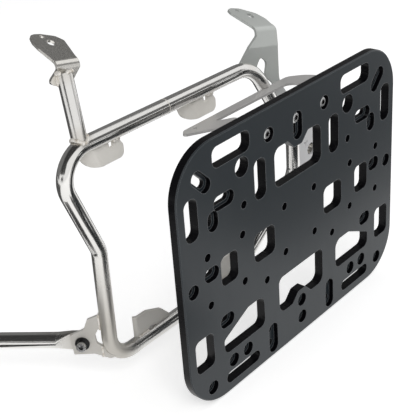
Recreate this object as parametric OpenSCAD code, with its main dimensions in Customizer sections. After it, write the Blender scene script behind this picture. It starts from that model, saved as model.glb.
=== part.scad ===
// Pannier mounting plate on its tubular side carrier.
// The frame: X runs along the plate to the rear, Y points inboard to the motorbike, Z is up.
// The origin is the centre of the mounting plate's outer face.

/* [Mounting plate] */
// Width of the mounting plate
plate_w = 390; // [384:1:400]
// Height of the mounting plate
plate_h = 300; // [294:1:312]
// Thickness of the mounting plate
plate_t = 11; // [10:0.5:14]
// Radius of the plate's four corners
plate_corner_r = 55; // [50:1:58]
// Width of the bevel round the plate's two edges
plate_bevel = 1.2; // [0.6:0.1:2]
// Web between the outermost slots and the plate's edge
edge_web = 10.5; // [8:0.5:12]

/* [Strap slots and windows] */
// Length of the strap slots along the top and bottom edges
strap_slot_w = 58; // [50:1:62]
// Height of the strap slots along the top edge
top_slot_h = 22.5; // [16:0.5:24]
// Height of the strap slots along the bottom edge
low_slot_h = 14; // [10:0.5:16]
// Distance of the strap slots from the centre line
strap_slot_x = 110.5; // [108:0.5:114]
// Width of the upright slots
upright_slot_w = 19; // [15:0.5:20]
// Height of the upright slots
upright_slot_h = 45.5; // [40:0.5:46]
// Height of the middle of the upper row of slots
upper_row_z = 77.8; // [77:0.2:79]
// Distance of the inner upright slots from the centre line
inner_slot_x = 67.3; // [66:0.1:68]
// Corner radius of the slots and windows
window_r = 8; // [5:0.5:8]
// Height of the square windows in the middle row
square_h = 34.5; // [30:0.5:36]
// Width of the outer square windows
outer_square_w = 27; // [22:0.5:28]
// Width of the inner square windows
inner_square_w = 36; // [30:0.5:38]
// Distance of the outer square windows from the centre line
outer_square_x = 123.5; // [122:0.5:125]
// Distance of the inner square windows from the centre line
inner_square_x = 64.2; // [63:0.1:66]
// Width of the lower side windows
side_window_w = 28.7; // [24:0.1:29]
// Height of the lower side windows
side_window_h = 40.3; // [34:0.1:42]
// Height of the bottom edge of the lower row of windows
lower_row_z = -100; // [-101:0.5:-99]
// Height of the wedge windows
wedge_h = 38; // [34:0.5:39]
// Distance of the wedge windows' inner edge from the centre line
wedge_inner_x = 69.5; // [68:0.5:72]
// Width of the wedge windows
wedge_w = 70; // [64:0.5:71]
// Fall of the wedge windows' slanted edge
wedge_fall = 19.5; // [12:0.5:20]
// Width of the two middle windows
middle_window_w = 84.6; // [76:0.2:86]
// Height of the two middle windows
middle_window_h = 45.5; // [42:0.5:46]
// Depth of the step in the two middle windows' long edge
step_h = 11; // [7:0.5:12]
// Width of the flat of that step
step_flat_w = 14; // [10:0.5:18]
// Diameter of the round windows
round_window_d = 21.5; // [16:0.5:22]
// Distance of the round windows from the centre line
round_window_x = 95.7; // [95:0.1:97]
// Height of the round windows
round_window_z = 103; // [102:0.5:104]

/* [Bolt holes in the plate] */
// Diameter of a bolt hole
bolt_hole_d = 9; // [8.6:0.1:9.4]
// Diameter of the counterbore over a bolt hole
counterbore_d = 16; // [15:0.2:16.6]
// Depth of the counterbores
counterbore_depth = 6; // [5:0.5:7]
// Travel of the long key slots
key_travel = 16; // [12:1:18]
// Travel of the short key slots
short_travel = 6.4; // [4:0.2:7]
// Distance of the outer two plate bolts from the middle one
plate_bolt_pitch = 50; // [48:0.5:52]
// Height of the three plate bolts
plate_bolt_z = 120.5; // [119.5:0.5:121]
// Distance of the pattern holes' rows from the plate's middle
pattern_row_z = 28; // [26:0.5:30]
// Distances of the pattern holes' columns from the centre line
pattern_columns = [27.6, 100.1, 155.8];

/* [Plate bolts] */
// Diameter of the plate bolts' shank
bolt_d = 8; // [7:0.1:8.2]
// Diameter of the bolt heads
bolt_head_d = 14; // [13:0.1:14.4]
// Height of the bolt heads
bolt_head_h = 4.4; // [3.6:0.1:5]
// Size across the flats of the hexagon sockets
socket_af = 5; // [4:0.1:6]
// Length of shank that stands out of the nuts
bolt_spare = 2.5; // [1:0.5:5]
// Height of the plate bolts' nuts
nut_h = 6.5; // [5:0.1:8]
// Size across the flats of the plate bolts' nuts
nut_af = 13; // [12:0.1:14]
// Thickness of the plate bolts' washers
washer_t = 1.6; // [1:0.1:2]
// Diameter of the plate bolts' washers
washer_d = 16; // [14:0.2:18]
// Clearance between a thread and the piece that it screws into
thread_gap = 0.1; // [0.05:0.05:0.2]

/* [Hoop bracket] */
// Thickness of the hoop bracket's sheet
hoop_t = 3; // [2:0.25:4]
// Height of the top of the hoop bracket's ring
hoop_z = 106; // [104:0.5:107]
// Height of the hoop bracket's flange above the ring
flange_h = 28; // [26:0.5:34]
// Half the length of the flange
flange_half_w = 66; // [62:0.5:68]
// Inside radius of the hoop bracket's bend
hoop_bend_r = 3; // [2:0.5:5]
// Width of the ring's rear bar
hoop_bar_w = 12; // [9:0.5:14]

/* [Carrier tube] */
// Outside diameter of the carrier tube
tube_d = 17; // [16:0.2:18]
// Wall of the carrier tube
tube_wall = 2; // [1.2:0.1:2.5]
// Distance of the carrier's middle plane behind the plate's outer face
carrier_y = 110; // [109:0.5:112]
// Place of the carrier's top front corner
top_front = [-245.5, 141.5];
// Place of the bend in the carrier's front upright
front_knee = [-199, 22];
// Place of the carrier's bottom front corner
bottom_front = [-201.5, -117];
// Place of the end of the bottom tube
bottom_rear = [12, -117];
// Place of the bottom of the carrier's rear upright
rear_foot = [139.5, -33];
// Place of the bend in the carrier's rear upright
rear_knee = [139.5, 18];
// Place of the carrier's top rear corner
top_rear = [63.8, 138];
// Bend radius of the front corners
corner_bend_r = 32; // [28:1:36]
// Bend radius of the knees and of the lower rear corners
knee_bend_r = 26; // [22:1:30]
// Bend radius of the top rear corner
rear_bend_r = 50; // [42:1:54]
// Place along X of the weld in the top tube
top_seam_x = -84; // [-95:1:-75]
// Place along X of the weld in the bottom tube
bottom_seam_x = -75; // [-80:1:-70]

/* [Front post] */
// Place along X of the post
post_x = -204; // [-206:0.5:-202]
// Length of the post from the carrier's middle line
post_l = 73; // [68:1:76]
// Diameter of the front post
post_d = 16; // [15:0.5:17]
// Thickness of the weld that closes the post's top
post_cap_t = 2.5; // [2:0.5:4]
// From the carrier's plane back to the front bracket's foot
foot_back = 18.5; // [17.5:0.5:19.5]
// From the top tube up to the front bracket's fold
foot_up = 75.5; // [74:0.5:77]
// Lean of the post inboard, in degrees
post_lean = 12.5; // [10:0.5:16]
// Lean of the post to the rear, in degrees
post_rake = 4; // [0:1:8]

/* [Sheet brackets] */
// Thickness of the sheet brackets
sheet_t = 3; // [2:0.25:4]
// Inside radius of the brackets' bends
bend_r = 6; // [3:0.5:7]
// Width of the front top bracket at its bend
front_tongue_w = 29; // [26:0.5:32]
// Length of the front top bracket's tongue
front_tongue_l = 42.5; // [40:0.5:48]
// Height of the front top bracket's foot
front_foot_h = 17; // [15:0.5:20]
// Width of the rear bracket at its bend
rear_tongue_w = 38; // [35:0.5:42]
// Length of the rear bracket's tongue
rear_tongue_l = 39.5; // [38:0.5:46]
// Rise of the tongues towards the motorbike, in degrees
tongue_rise = 25; // [15:1:35]
// Slope of the front top bracket down to the rear, in degrees
front_slope = 10.5; // [8:0.5:12]
// Slope of the rear bracket down to the rear, in degrees
rear_slope = 12.5; // [10:0.5:14]
// Lean of the rear bracket's upper strip, in degrees
strip_lean = 12; // [6:1:16]
// Diameter of the large holes in the tongues
tongue_hole_d = 9; // [7:0.1:10]
// Diameter of the small holes in the tongues
tongue_pin_d = 5; // [3:0.1:6]
// Diameter of the hole through the rear bracket and its boss
boss_bore_d = 16.4; // [14:0.1:17]
// Wall of the rear bracket's boss
boss_wall = 2.5; // [2:0.1:3.5]
// Length of the rear bracket's boss
boss_l = 26; // [20:1:32]

/* [Welded tabs] */
// Width of the upper tabs
upper_tab_w = 45; // [42:0.5:48]
// Reach of the upper tabs below the tube's middle line
upper_tab_h = 31; // [28:0.5:34]
// Width of the lower tabs
lower_tab_w = 51; // [48:0.5:54]
// Reach of the lower tabs above the tube's middle line
lower_tab_h = 34.5; // [32:0.5:38]
// Inside radius of the tabs' bends
tab_bend_r = 4; // [2:0.5:6]
// Length of the upper tabs' bent wing
wing_l = 17; // [14:0.5:20]
// Length of the lower tabs' bent wing
low_wing_l = 5; // [4.5:0.5:9]
// Angle of the tabs' bent wing, in degrees
wing_angle = 48; // [35:1:60]
// Place along X of the front upper tab's bend
upper_tab_x = -194.5; // [-196:0.5:-193]
// Place along X of the front lower tab's bend
lower_tab_x = -160; // [-162:0.5:-158]
// Distance between the front and the rear tabs
tab_pitch = 146; // [143:1:149]

/* [Corner gusset and cross strut] */
// Thickness of the corner gusset
gusset_t = 4; // [3:0.25:5]
// Rise of the cross strut towards the motorbike, in degrees
strut_rise = -1; // [-4:1:4]
// Angle of the gusset and strut from the front towards the motorbike, in degrees
strut_angle = 56; // [52:1:60]
// Distance of the strut screw from the front upright's middle line
strut_screw_r = 29.5; // [28.5:0.5:32]
// Height of the strut screw
strut_screw_z = -92; // [-93:0.5:-90.5]
// Outside diameter of the cross strut
strut_d = 18; // [16:0.2:19]
// Wall of the cross strut
strut_wall = 2; // [1.5:0.1:2.5]
// Distance between the cross strut's two eyes
strut_l = 140; // [120:1:180]
// Thickness of the cross strut's flattened ends
flat_t = 5; // [4:0.25:6]
// Width of the cross strut's flattened ends
flat_w = 22; // [20:0.5:24]
// Length of a flattened end from its eye to the start of the round tube
flat_l = 30; // [26:1:36]
// Diameter of the eyes in the cross strut
eye_d = 6.6; // [6.4:0.1:7]
// Diameter of the strut screw
screw_d = 6; // [5:0.1:6.2]
// Diameter of the strut screw's head
screw_head_d = 10.5; // [9.6:0.1:11]
// Height of the strut screw's head
screw_head_h = 7; // [5:0.1:8]
// Diameter of the strut screw's washer
screw_washer_d = 16; // [13:0.2:18]
// Height of the strut screw's nut
screw_nut_h = 5; // [4:0.1:6]
// Size across the flats of the strut screw's nut
screw_nut_af = 10; // [9:0.1:11]

/* [Hidden] */
$fn = 64;
bend_draw = 0.05;
bend_lap = 0.8;
hair = 0.15;
half_w = plate_w / 2;
half_h = plate_h / 2;
plate_black = [0.12, 0.125, 0.13];
steel = [0.78, 0.77, 0.75];
blasted = [0.74, 0.72, 0.68];
zinc = [0.85, 0.85, 0.86];
black_steel = [0.1, 0.1, 0.1];

// Points and outlines

function unit(v) = v / norm(v);
function left_of(v) = [-v[1], v[0]];
function cross2(a, b) = a[0] * b[1] - a[1] * b[0];
function turn(a, b, c) = atan2(cross2(b - a, c - b), (b - a) * (c - b));
function tangent_l(a, b, c, r) = r * tan(abs(turn(a, b, c)) / 2);

// The arc that rounds the corner b between a and c, limited by the two edges there
function corner_arc(a, b, c, wanted) =
    wanted <= 0 || abs(turn(a, b, c)) < 0.1 ? [b] :
    let (
        side = sign(turn(a, b, c)),
        room = 0.48 * min(norm(b - a), norm(c - b)),
        r = min(wanted, room / tan(abs(turn(a, b, c)) / 2)),
        start = b - unit(b - a) * tangent_l(a, b, c, r),
        centre = start + left_of(unit(b - a)) * side * r,
        steps = max(2, ceil(abs(turn(a, b, c)) / 11)),
        first = atan2(start[1] - centre[1], start[0] - centre[0])
    )
    [for (i = [0 : steps]) centre + r * [cos(first + turn(a, b, c) * i / steps),
        sin(first + turn(a, b, c) * i / steps)]];

// A closed outline with a radius at each of its points
function round_outline(points, radii) =
    let (n = len(points))
    [for (i = [0 : n - 1]) each corner_arc(points[(i + n - 1) % n], points[i],
        points[(i + 1) % n], radii[i])];

// Shared shapes

module rounded_rect(w, h, r) {
    square([w - 2 * r, h], center = true);
    square([w, h - 2 * r], center = true);
    for (x = [-1, 1], y = [-1, 1])
        translate([x * (w / 2 - r), y * (h / 2 - r)])
            circle(r);
}

module capsule(travel, d) {
    square([travel, d], center = true);
    for (x = [-travel / 2, travel / 2])
        translate([x, 0])
            circle(d = d);
}

module both_sides() {
    children();
    mirror([1, 0])
        children();
}

// Stands a flat shape drawn in X and Y upright in X and Z, from y to y + t
module upright_sheet(y, t) {
    translate([0, y + t, 0])
        rotate([90, 0, 0])
            linear_extrude(t)
                children();
}

module hexagon(af) {
    circle(d = af / cos(30), $fn = 6);
}

// A ring that lies on y = 0 and reaches to y = h
module ring(d, bore, h) {
    rotate([-90, 0, 0])
        difference() {
            cylinder(d = d, h = h);
            translate([0, 0, -1])
                cylinder(d = bore, h = h + 2);
        }
}

module hex_nut(af, bore, h) {
    rotate([-90, 0, 0])
        difference() {
            linear_extrude(h)
                hexagon(af);
            translate([0, 0, -1])
                cylinder(d = bore, h = h + 2);
        }
}

// A rod that bends in X and Z: each point of the path is [x, z, bend radius].
// A bend draws the rod in by a hair, and the straight lengths run a little way into it.
module bent_rod(path, d, extra = 0) {
    last = len(path) - 1;
    at = [for (p = path) [p[0], p[1]]];
    cut = [for (i = [0 : last]) i == 0 || i == last ? -extra
        : tangent_l(at[i - 1], at[i], at[i + 1], path[i][2]) - bend_lap];
    translate([0, carrier_y, 0])
        rotate([90, 0, 0]) {
            for (i = [0 : last - 1]) {
                run = unit(at[i + 1] - at[i]);
                start = at[i] + run * cut[i];
                translate([start[0], start[1], 0])
                    rotate([0, 0, atan2(run[1], run[0])])
                        rotate([0, 90, 0])
                            cylinder(d = d, h = norm(at[i + 1] - at[i]) - cut[i] - cut[i + 1]);
            }
            for (i = [1 : last - 1])
                rod_bend(at[i - 1], at[i], at[i + 1], path[i][2], d - 2 * bend_draw);
        }
}

module rod_bend(a, b, c, r, d) {
    angle = turn(a, b, c);
    first = b - unit(b - a) * tangent_l(a, b, c, r);
    centre = first + left_of(unit(b - a)) * sign(angle) * r;
    start = atan2(first[1] - centre[1], first[0] - centre[0]);
    translate([centre[0], centre[1], 0])
        rotate([0, 0, angle > 0 ? start : start + angle])
            rotate_extrude(angle = abs(angle))
                translate([r, 0])
                    circle(d = d);
}

// A folded sheet's section along a path of its outer face, with its thickness to the right
function right_of(v) = [v[1], -v[0]];
function dir(path, i) = unit(path[i + 1] - path[i]);
function moved(path, t) =
    let (last = len(path) - 1)
    [for (i = [0 : last])
        i == 0 ? path[0] + right_of(dir(path, 0)) * t
        : i == last ? path[last] + right_of(dir(path, last - 1)) * t
        : let (m = right_of(dir(path, i - 1)), n = right_of(dir(path, i)))
            path[i] + t * (m + n) / (1 + m * n)];
function rounded_path(p, r_left, r_right) =
    let (last = len(p) - 1)
    [p[0], for (i = [1 : last - 1]) each corner_arc(p[i - 1], p[i], p[i + 1],
        turn(p[i - 1], p[i], p[i + 1]) > 0 ? r_left : r_right), p[last]];
function backwards(p) = [for (i = [len(p) - 1 : -1 : 0]) p[i]];
function sheet_section(path, t, r) =
    concat(rounded_path(path, r, r + t), backwards(rounded_path(moved(path, t), r + t, r)));

// The mounting plate

key_slots = [
    [157.4, 111.8, 45, key_travel],
    [126, 79.2, 0, key_travel],
    [144.3, 63.6, 90, short_travel],
    [151.2, 6.8, 0, short_travel],
    [132.2, -59, 0, short_travel]
];
counterbored_holes = [[180, 0], [125.5, -114], [101.2, -114], [161.7, -128.2],
    [plate_bolt_pitch, plate_bolt_z]];
middle_holes = [[0, -105.5], [0, -128.5]];
plain_holes = [[95.5, 60.5], [62.7, -46.2]];
double_slot_x = 55.8;
double_slot_z = -126.2;
double_hole_gap = 18.5;
double_travel = double_hole_gap + 3.5;
step_slope = 1;

module strap_slots() {
    translate([strap_slot_x, half_h - edge_web - top_slot_h / 2])
        rounded_rect(strap_slot_w, top_slot_h, window_r);
    translate([strap_slot_x, -half_h + edge_web + low_slot_h / 2])
        capsule(strap_slot_w - low_slot_h, low_slot_h);
    translate([half_w - edge_web - upright_slot_w / 2, upper_row_z])
        rounded_rect(upright_slot_w, upright_slot_h, window_r);
    translate([inner_slot_x, upper_row_z])
        rounded_rect(upright_slot_w, upright_slot_h, window_r);
}

module wedge_window() {
    outer_x = wedge_inner_x + wedge_w;
    top_z = lower_row_z + wedge_h;
    polygon(round_outline(
        [[wedge_inner_x, lower_row_z], [outer_x, lower_row_z], [outer_x, top_z - wedge_fall],
            [outer_x - wedge_w * 0.6, top_z], [wedge_inner_x, top_z]],
        [window_r, window_r, window_r * 0.6, window_r, window_r + 3]));
}

module side_windows() {
    translate([outer_square_x, 0])
        rounded_rect(outer_square_w, square_h, window_r - 1);
    translate([inner_square_x, 0])
        rounded_rect(inner_square_w, square_h, window_r);
    translate([half_w - edge_web - side_window_w / 2, lower_row_z + side_window_h / 2])
        rounded_rect(side_window_w, side_window_h, window_r - 1);
    translate([round_window_x, round_window_z])
        circle(d = round_window_d);
    wedge_window();
}

// A middle window with its stepped edge at the top, centred on its own middle
module stepped_window() {
    top = middle_window_h / 2;
    side = middle_window_w / 2;
    flat = step_flat_w / 2;
    foot = flat + step_h * step_slope;
    polygon(round_outline(
        [[-side, -top], [side, -top], [side, top], [foot, top], [flat, top - step_h],
            [-flat, top - step_h], [-foot, top], [-side, top]],
        [window_r, window_r, window_r + 2, step_h / 3, step_h / 3, step_h / 3, step_h / 3,
            window_r + 2]));
}

module middle_windows() {
    translate([0, upper_row_z])
        stepped_window();
    translate([0, lower_row_z - 2 + middle_window_h / 2])
        mirror([0, 1])
            stepped_window();
}

// The bolt holes and key slots at a given width: the holes themselves or their counterbores
module stepped_holes(d) {
    both_sides() {
        for (s = key_slots)
            translate([s[0], s[1]])
                rotate(s[2])
                    capsule(s[3], d);
        for (p = counterbored_holes)
            translate(p)
                circle(d = d);
    }
    for (p = middle_holes)
        translate(p)
            circle(d = d);
    translate([0, plate_bolt_z - key_travel / 2])
        rotate(90)
            capsule(key_travel, d);
}

module plain_bolt_holes() {
    both_sides() {
        for (x = pattern_columns, z = [-pattern_row_z, pattern_row_z])
            translate([x, z])
                circle(d = bolt_hole_d);
        for (p = plain_holes)
            translate(p)
                circle(d = bolt_hole_d);
        for (z = [-double_hole_gap / 2, double_hole_gap / 2])
            translate([double_slot_x, double_slot_z + z])
                circle(d = bolt_hole_d);
    }
}

// A slab from z = 0 to z = t with round corners and bevelled edges
module bevelled_slab(w, h, t, r, b) {
    for (x = [-1, 1], y = [-1, 1])
        translate([x * (w / 2 - r), y * (h / 2 - r), 0])
            rotate_extrude()
                polygon([[0, 0], [r - b, 0], [r, b], [r, t - b], [r - b, t], [0, t]]);
    translate([-w / 2 + r, 0, 0])
        rotate([90, 0, 90])
            linear_extrude(w - 2 * r)
                bevelled_section(h, t, b);
    translate([0, h / 2 - r, 0])
        rotate([90, 0, 0])
            linear_extrude(h - 2 * r)
                bevelled_section(w, t, b);
}

module bevelled_section(w, t, b) {
    polygon([[-w / 2 + b, 0], [w / 2 - b, 0], [w / 2, b], [w / 2, t - b],
        [w / 2 - b, t], [-w / 2 + b, t], [-w / 2, t - b], [-w / 2, b]]);
}

module mounting_plate() {
    color(plate_black)
        difference() {
            translate([0, plate_t, 0])
                rotate([90, 0, 0])
                    bevelled_slab(plate_w, plate_h, plate_t, plate_corner_r, plate_bevel);
            upright_sheet(-1, plate_t + 2) {
                both_sides() {
                    strap_slots();
                    side_windows();
                }
                middle_windows();
                stepped_holes(bolt_hole_d);
                plain_bolt_holes();
            }
            upright_sheet(-1, counterbore_depth + 1) {
                stepped_holes(counterbore_d);
                both_sides()
                    translate([double_slot_x, double_slot_z])
                        rotate(90)
                            capsule(double_travel, counterbore_d);
            }
        }
}

// The plate bolts, which clamp the hoop bracket's flange to the plate's back

flange_back_y = plate_t + hoop_t;
nut_y = flange_back_y + washer_t;

module plate_bolt(x) {
    color(zinc)
        translate([x, counterbore_depth, plate_bolt_z])
            rotate([-90, 0, 0])
                difference() {
                    union() {
                        cylinder(d = bolt_d, h = nut_y + nut_h + bolt_spare - counterbore_depth);
                        translate([0, 0, -bolt_head_h])
                            bolt_head();
                    }
                    translate([0, 0, -bolt_head_h - 1])
                        linear_extrude(bolt_head_h * 0.6 + 1)
                            hexagon(socket_af);
                }
}

// A button head: its domed side at z = 0 and its seat at z = bolt_head_h
module bolt_head() {
    rim_h = bolt_head_h * 0.25;
    dome_h = bolt_head_h - rim_h;
    crown_r = bolt_head_d * 0.24;
    steps = 8;
    rotate_extrude()
        polygon(concat(
            [[0, 0], [crown_r, 0]],
            [for (i = [1 : steps]) [crown_r + (bolt_head_d / 2 - crown_r) * sin(90 * i / steps),
                dome_h * (1 - cos(90 * i / steps))]],
            [[bolt_head_d / 2, bolt_head_h], [0, bolt_head_h]]));
}

module plate_washer(x) {
    color(zinc)
        translate([x, flange_back_y, plate_bolt_z])
            ring(washer_d, bolt_hole_d, washer_t);
}

module plate_nut(x) {
    color(zinc)
        translate([x, nut_y, plate_bolt_z])
            hex_nut(nut_af, bolt_d + 2 * thread_gap, nut_h);
}

// The hoop bracket: a flat ring with a flange folded up against the plate's back

ring_back_y = carrier_y - tube_d / 2 + 3;
ring_front_y = ring_back_y - 28;
neck_x = -28;

module ring_outline() {
    polygon(round_outline(
        [[-flange_half_w, plate_t], [-flange_half_w, 26], [neck_x - 3, 46],
            [neck_x - 8, ring_front_y], [-73, ring_back_y - 6.5], [-64, ring_back_y],
            [124, ring_back_y], [139, ring_back_y - 14], [148, ring_front_y - 2],
            [126, 46], [flange_half_w, 24], [flange_half_w, plate_t]],
        [0, 6, 14, 14, 4, 8, 16, 12, 22, 30, 8, 0]));
}

module ring_opening() {
    inner_y = ring_back_y - hoop_bar_w;
    polygon(round_outline(
        [[neck_x + 22, 31], [58, 33], [100, 47], [119, 66], [108, inner_y - 1],
            [neck_x - 1, inner_y + 1], [neck_x + 22, ring_front_y + 4]],
        [9, 20, 16, 12, 12, 2, 6]));
}

module hoop_bracket() {
    low_z = hoop_z - hoop_t;
    color(steel)
        difference() {
            intersection() {
                translate([-half_w, 0, 0])
                    rotate([90, 0, 90])
                        linear_extrude(plate_w)
                            folded_section(low_z);
                translate([0, 0, low_z - 1])
                    linear_extrude(flange_h + hoop_t + 2)
                        difference() {
                            ring_outline();
                            ring_opening();
                            translate([-52, ring_back_y - 6.5])
                                circle(d = 4);
                        }
            }
            for (x = [-plate_bolt_pitch, 0, plate_bolt_pitch])
                translate([x, plate_t - 1, plate_bolt_z])
                    rotate([-90, 0, 0])
                        cylinder(d = bolt_hole_d, h = hoop_t + 2);
            bent_rod(rear_path, tube_d);
        }
}

// The hoop bracket's section in Y and Z: an upright flange, a bend and the flat ring
module folded_section(low_z) {
    outer_r = hoop_bend_r + hoop_t;
    bend = [plate_t + outer_r, low_z + outer_r];
    translate([plate_t, bend[1]])
        square([hoop_t, flange_h + hoop_t - outer_r]);
    translate([bend[0], low_z])
        square([ring_back_y - bend[0] + 1, hoop_t]);
    intersection() {
        translate(bend)
            difference() {
                circle(outer_r);
                circle(hoop_bend_r);
            }
        translate([plate_t, low_z])
            square(outer_r);
    }
}

// The carrier: two bent tubes, welded end to end in the top and bottom tubes

function on_line(a, b, x) = [x, a[1] + (b[1] - a[1]) * (x - a[0]) / (b[0] - a[0])];
function bend(p, r) = [p[0], p[1], r];
top_seam = on_line(top_front, top_rear, top_seam_x);
bottom_seam = on_line(bottom_front, bottom_rear, bottom_seam_x);
front_path = [bend(top_seam, 0), bend(top_front, corner_bend_r), bend(front_knee, knee_bend_r),
    bend(bottom_front, corner_bend_r), bend(bottom_seam, 0)];
rear_path = [bend(bottom_seam, 0), bend(bottom_rear, knee_bend_r), bend(rear_foot, knee_bend_r),
    bend(rear_knee, knee_bend_r), bend(top_rear, rear_bend_r), bend(top_seam, 0)];

module carrier_tube(path) {
    color(steel)
        difference() {
            bent_rod(path, tube_d);
            bent_rod(path, tube_d - 2 * tube_wall, extra = 1);
        }
}

// The front post: coped onto the top tube, with its top cut flat where the bracket's foot lies

post_base_z = on_line(top_front, top_rear, post_x)[1];
foot_y = carrier_y + foot_back;
foot_z = post_base_z + foot_up;

module front_post() {
    color(steel)
        difference() {
            translate([post_x, carrier_y, post_base_z])
                rotate([-post_lean, 0, 0])
                    rotate([0, post_rake, 0])
                        difference() {
                            cylinder(d = post_d, h = post_l);
                            translate([0, 0, -1])
                                cylinder(d = post_d - 2 * tube_wall, h = post_l + 1 - post_cap_t);
                        }
            bent_rod(front_path, tube_d);
            translate([post_x - tube_d * 2, foot_y, post_base_z])
                cube([tube_d * 4, tube_d * 2, post_l * 2]);
        }
}

// A folded sheet on the origin, its last fold along X. The path runs in Y and Z. The first
// child cuts out the upright part, which it overshoots at the top, the second the tongue.
module folded_sheet(path, w) {
    last = len(path) - 1;
    corner = path[last - 1];
    before = unit(corner - path[last - 2]);
    after = unit(path[last] - corner);
    fold = acos(before * after);
    set_back = (bend_r + sheet_t) * tan(fold / 2);
    top = corner + after * set_back;
    rise = atan2(after[1], after[0]);
    intersection() {
        translate([-3 * w, 0, 0])
            rotate([90, 0, 90])
                linear_extrude(7 * w)
                    polygon(sheet_section(path, sheet_t, bend_r));
        union() {
            upright_sheet(path[0][0] - w, 2 * w)
                intersection() {
                    children(0);
                    translate([-10 * w, top[1] + 0.5 - 20 * w])
                        square([20 * w, 20 * w]);
                }
            translate([0, top[0], top[1]])
                rotate([rise, 0, 0])
                    translate([0, 0, -2 * sheet_t])
                        linear_extrude(3 * sheet_t)
                            children(1);
        }
    }
}

tongue_dir = [cos(tongue_rise), sin(tongue_rise)];

// The front top bracket: its foot lies against the post's flat
module front_foot() {
    w = front_tongue_w;
    h = front_foot_h;
    polygon(round_outline(
        [[0, w], [w, w], [w, -1.5], [w - 9, -h + 3.5], [-1, -h], [-8, -h + 3], [-8, -h + 7],
            [0, -1.5]],
        [0, 0, 2, 3, 5, 4, 4, 2]));
}

module front_tongue() {
    w = front_tongue_w;
    l = front_tongue_l;
    difference() {
        polygon(round_outline(
            [[-hair, hair], [w + hair, hair], [w + hair, 2], [w + 6.5, l - 15], [w * 1.04, l - 7],
                [w * 0.55, l - 1], [w * 0.3, l], [2.5, l - 1.5], [-1.5, l * 0.74],
                [-2, l * 0.5], [-hair, 2]],
            [0, 0, 4, 4, 5, 6, 5, 5, 10, 10, 4]));
        translate([w * 0.5, l - 5.5])
            circle(d = tongue_pin_d);
        translate([w * 0.62, l * 0.62])
            circle(d = tongue_hole_d);
    }
}

module front_top_bracket() {
    color(steel)
        translate([post_x + 0.5, foot_y, foot_z])
            rotate([0, front_slope, 0])
                folded_sheet([[0, -2 * front_foot_h], [0, (bend_r + sheet_t) / 2],
                    [0, (bend_r + sheet_t) / 2] + tongue_dir * 2 * front_tongue_l],
                    front_tongue_w) {
                    front_foot();
                    front_tongue();
                }
}

// The rear side bracket: a wide sheet welded behind the rear upright, with a boss at its foot

rear_sheet_y = carrier_y + tube_d / 2 - 1.5;
fold_x = top_rear[0] + 26;
fold_z = top_rear[1] + 28.5;
boss_x = rear_knee[0] + 50;
boss_z = rear_knee[1] - 35.5;
strip_l = 21;

// Turns a point of the carrier's plane into the rear bracket's own frame
function to_rear(p) =
    let (d = [p[0] - fold_x, p[1] - fold_z])
    [d[0] * cos(rear_slope) - d[1] * sin(rear_slope), d[0] * sin(rear_slope) + d[1] * cos(rear_slope)];

rear_sheet = [
    [[125.3, 140.5], 3], [[125.5, 98], 30], [[152, 62], 60], [[206, 14], 14], [[213, -4], 10],
    [[213, -24], 12], [[200, -38], 12], [[164, -37], 12], [[139.5, -24], 4], [[139.5, 18], 20],
    [[114, 58], 4], [[121, 78], 14], [[114, 98], 14], [[99, 112], 5], [[103.5, 128], 8],
    [[91.5, 139], 8], [[84, 130], 8], [[82, 119], 2], [[73, 121], 4], [[63, 130], 4],
    [[52, 134], 2], [[54, 141.5], 3], [[70.5, 155.5], 3]
];

module rear_panel() {
    w = rear_tongue_w;
    polygon(round_outline(
        concat([[0, w], [w, w]], [for (p = rear_sheet) to_rear(p[0])], [[0, -3]]),
        concat([0, 0], [for (p = rear_sheet) p[1]], [4])));
}

module rear_tongue() {
    w = rear_tongue_w;
    l = rear_tongue_l;
    difference() {
        polygon(round_outline(
            [[-hair, hair], [w + hair, hair], [w + hair, 2], [w + 1, l * 0.36],
                [w - 5, l * 0.66], [w * 0.36, l - 2], [0, l], [-7.5, l - 2], [-9, l * 0.78],
                [-5.5, l * 0.48], [-hair, 2]],
            [0, 0, 4, 10, 10, 10, 10, 4, 6, 20, 4]));
        translate([6, l - 5.5])
            circle(d = tongue_pin_d);
        translate([w * 0.48, l * 0.56])
            circle(d = tongue_hole_d);
    }
}

module rear_side_bracket() {
    strip_top = [0, -15.5] + strip_l * [sin(strip_lean), cos(strip_lean)];
    color(steel)
        difference() {
            translate([fold_x, rear_sheet_y, fold_z])
                rotate([0, rear_slope, 0])
                    folded_sheet([[0, -250], [0, -15.5], strip_top,
                        strip_top + tongue_dir * 2 * rear_tongue_l], rear_tongue_w) {
                        rear_panel();
                        rear_tongue();
                    }
            bent_rod(rear_path, tube_d);
            translate([boss_x, rear_sheet_y - 1, boss_z])
                rotate([-90, 0, 0])
                    cylinder(d = boss_bore_d, h = sheet_t + 2);
            upright_sheet(rear_sheet_y - 1, sheet_t + 2)
                polygon(round_outline([[boss_x - 15, boss_z + 14], [boss_x - 5.5, boss_z + 15.5],
                    [boss_x - 12, boss_z + 6]], [1.5, 1.5, 1]));
        }
}

module rear_boss() {
    color(steel)
        translate([boss_x, rear_sheet_y + sheet_t, boss_z])
            ring(boss_bore_d + 2 * boss_wall, boss_bore_d, boss_l);
}

// The tabs: sheets in the carrier's middle plane, coped onto the tube, with a wing bent inboard

module bent_tab(x, w, wing, tilt) {
    path = [[w, 0], [0, 0], [-cos(wing_angle), sin(wing_angle)] * wing];
    intersection() {
        translate([x, carrier_y - sheet_t / 2, 0])
            rotate([0, tilt, 0])
                translate([0, 0, -w])
                    linear_extrude(2 * w)
                        polygon(sheet_section(path, sheet_t, tab_bend_r));
        upright_sheet(carrier_y - w, 2 * w)
            children();
    }
}

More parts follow.
